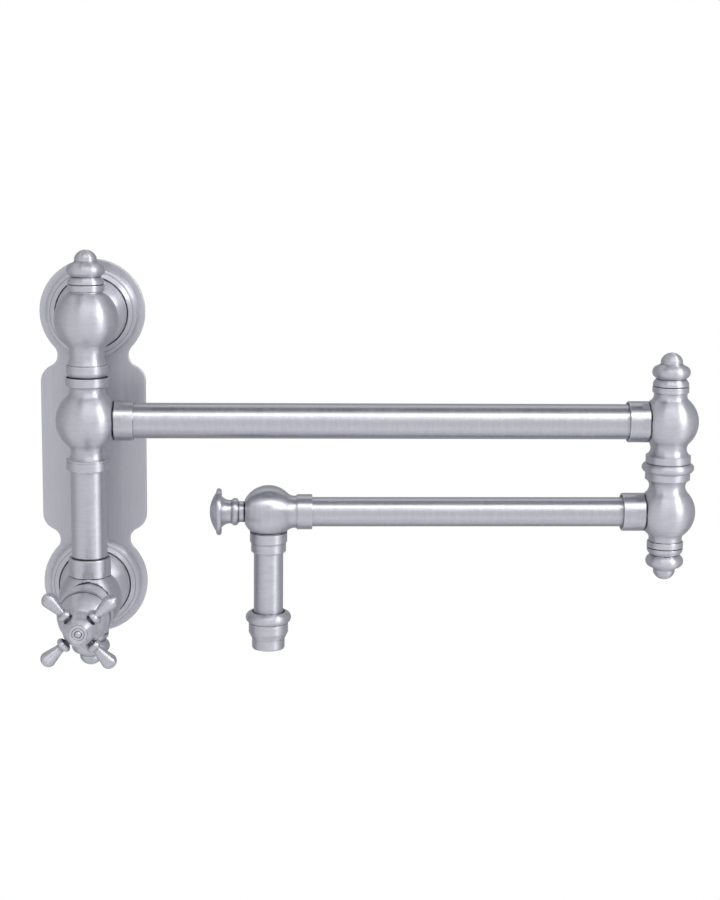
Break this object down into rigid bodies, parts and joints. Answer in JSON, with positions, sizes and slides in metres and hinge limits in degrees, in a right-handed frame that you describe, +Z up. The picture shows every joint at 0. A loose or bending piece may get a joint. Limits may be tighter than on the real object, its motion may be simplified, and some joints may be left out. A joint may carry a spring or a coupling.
{
  "type": "wall mounted pot filler",
  "caption": "Folding pot filler tap for a wall, with a double jointed arm, a cross handle valve at the wall and a knob shut-off at the end of the spout.",
  "frame": {"origin": "centre of the water inlet on the wall plane", "axes": "+X along the first arm as folded to the right, +Y into the wall, +Z up"},
  "size_m": [0.4168, 0.1326, 0.263],
  "materials": {
    "brushed_stainless": "satin brushed",
    "plain_steel": "turned",
    "brass": "machined",
    "ceramic": "lapped ceramic",
    "rubber": "smooth",
    "polymer": "moulded"
  },
  "bodies": {
    "wall_fixing": {"backplate": "brushed_stainless", "upper_escutcheon": "brushed_stainless", "lower_escutcheon": "brushed_stainless", "upper_post": "brushed_stainless", "post_finial": "brushed_stainless", "pivot_pin": "plain_steel", "valve_body": "brushed_stainless", "valve_finial": "brushed_stainless", "riser_gland_nut": "brushed_stainless", "bonnet": "brushed_stainless", "valve_cartridge": "brass", "valve_cartridge_nut": "brass", "valve_fixed_disc": "ceramic", "valve_seat_seal": "rubber"},
    "cross_handle": {"valve_stem": "brass", "valve_moving_disc": "ceramic", "valve_stem_oring": "rubber", "handle_hub": "brushed_stainless", "handle_spoke_1": "brushed_stainless", "handle_spoke_2": "brushed_stainless", "handle_spoke_3": "brushed_stainless", "handle_spoke_4": "brushed_stainless", "handle_screw": "plain_steel", "index_button": "brushed_stainless"},
    "first_arm": {"arm_hub": "brushed_stainless", "pivot_bush": "polymer", "pivot_washer": "polymer", "riser_tube": "brushed_stainless", "riser_spigot": "brass", "riser_orings": "rubber", "arm1_inner_nut": "brushed_stainless", "arm1_tube": "brushed_stainless", "arm1_outer_nut": "brushed_stainless", "elbow_upper": "brushed_stainless", "elbow_upper_finial": "brushed_stainless", "elbow_spindle": "brass", "elbow_orings": "rubber", "spindle_nut": "brass"},
    "second_arm": {"elbow_bead_ring": "brushed_stainless", "elbow_lower": "brushed_stainless", "elbow_lower_finial": "brushed_stainless", "thrust_washer": "polymer", "arm2_nut": "brushed_stainless", "arm2_tube": "brushed_stainless", "spout_body": "brushed_stainless", "spout_nut": "brushed_stainless", "spout_tube": "brushed_stainless", "aerator_housing": "brushed_stainless", "aerator_insert": "polymer", "aerator_gasket": "rubber", "spout_cartridge": "brass", "spout_fixed_disc": "ceramic", "spout_seat_seal": "rubber"},
    "spout_knob": {"spout_knob": "brushed_stainless", "spout_stem": "brass", "spout_moving_disc": "ceramic", "spout_stem_oring": "rubber"}
  },
  "joints": [
    {"name": "first_arm_swing", "type": "hinge", "parent": "wall_fixing", "child": "first_arm", "pos_m": [0, -0.047, 0.114], "axis": [0, 0, -1], "range_deg": [0, 180]},
    {"name": "second_arm_swing", "type": "hinge", "parent": "first_arm", "child": "second_arm", "pos_m": [0.365, -0.047, 0.085], "axis": [0, 0, 1], "range_deg": [-180, 180]},
    {"name": "cross_handle_turn", "type": "hinge", "parent": "wall_fixing", "child": "cross_handle", "pos_m": [0, -0.047, 0], "axis": [0, -1, 0], "range_deg": [0, 90]},
    {"name": "spout_knob_turn", "type": "hinge", "parent": "second_arm", "child": "spout_knob", "pos_m": [0.1125, -0.047, 0.056], "axis": [-1, 0, 0], "range_deg": [0, 90]}
  ]
}
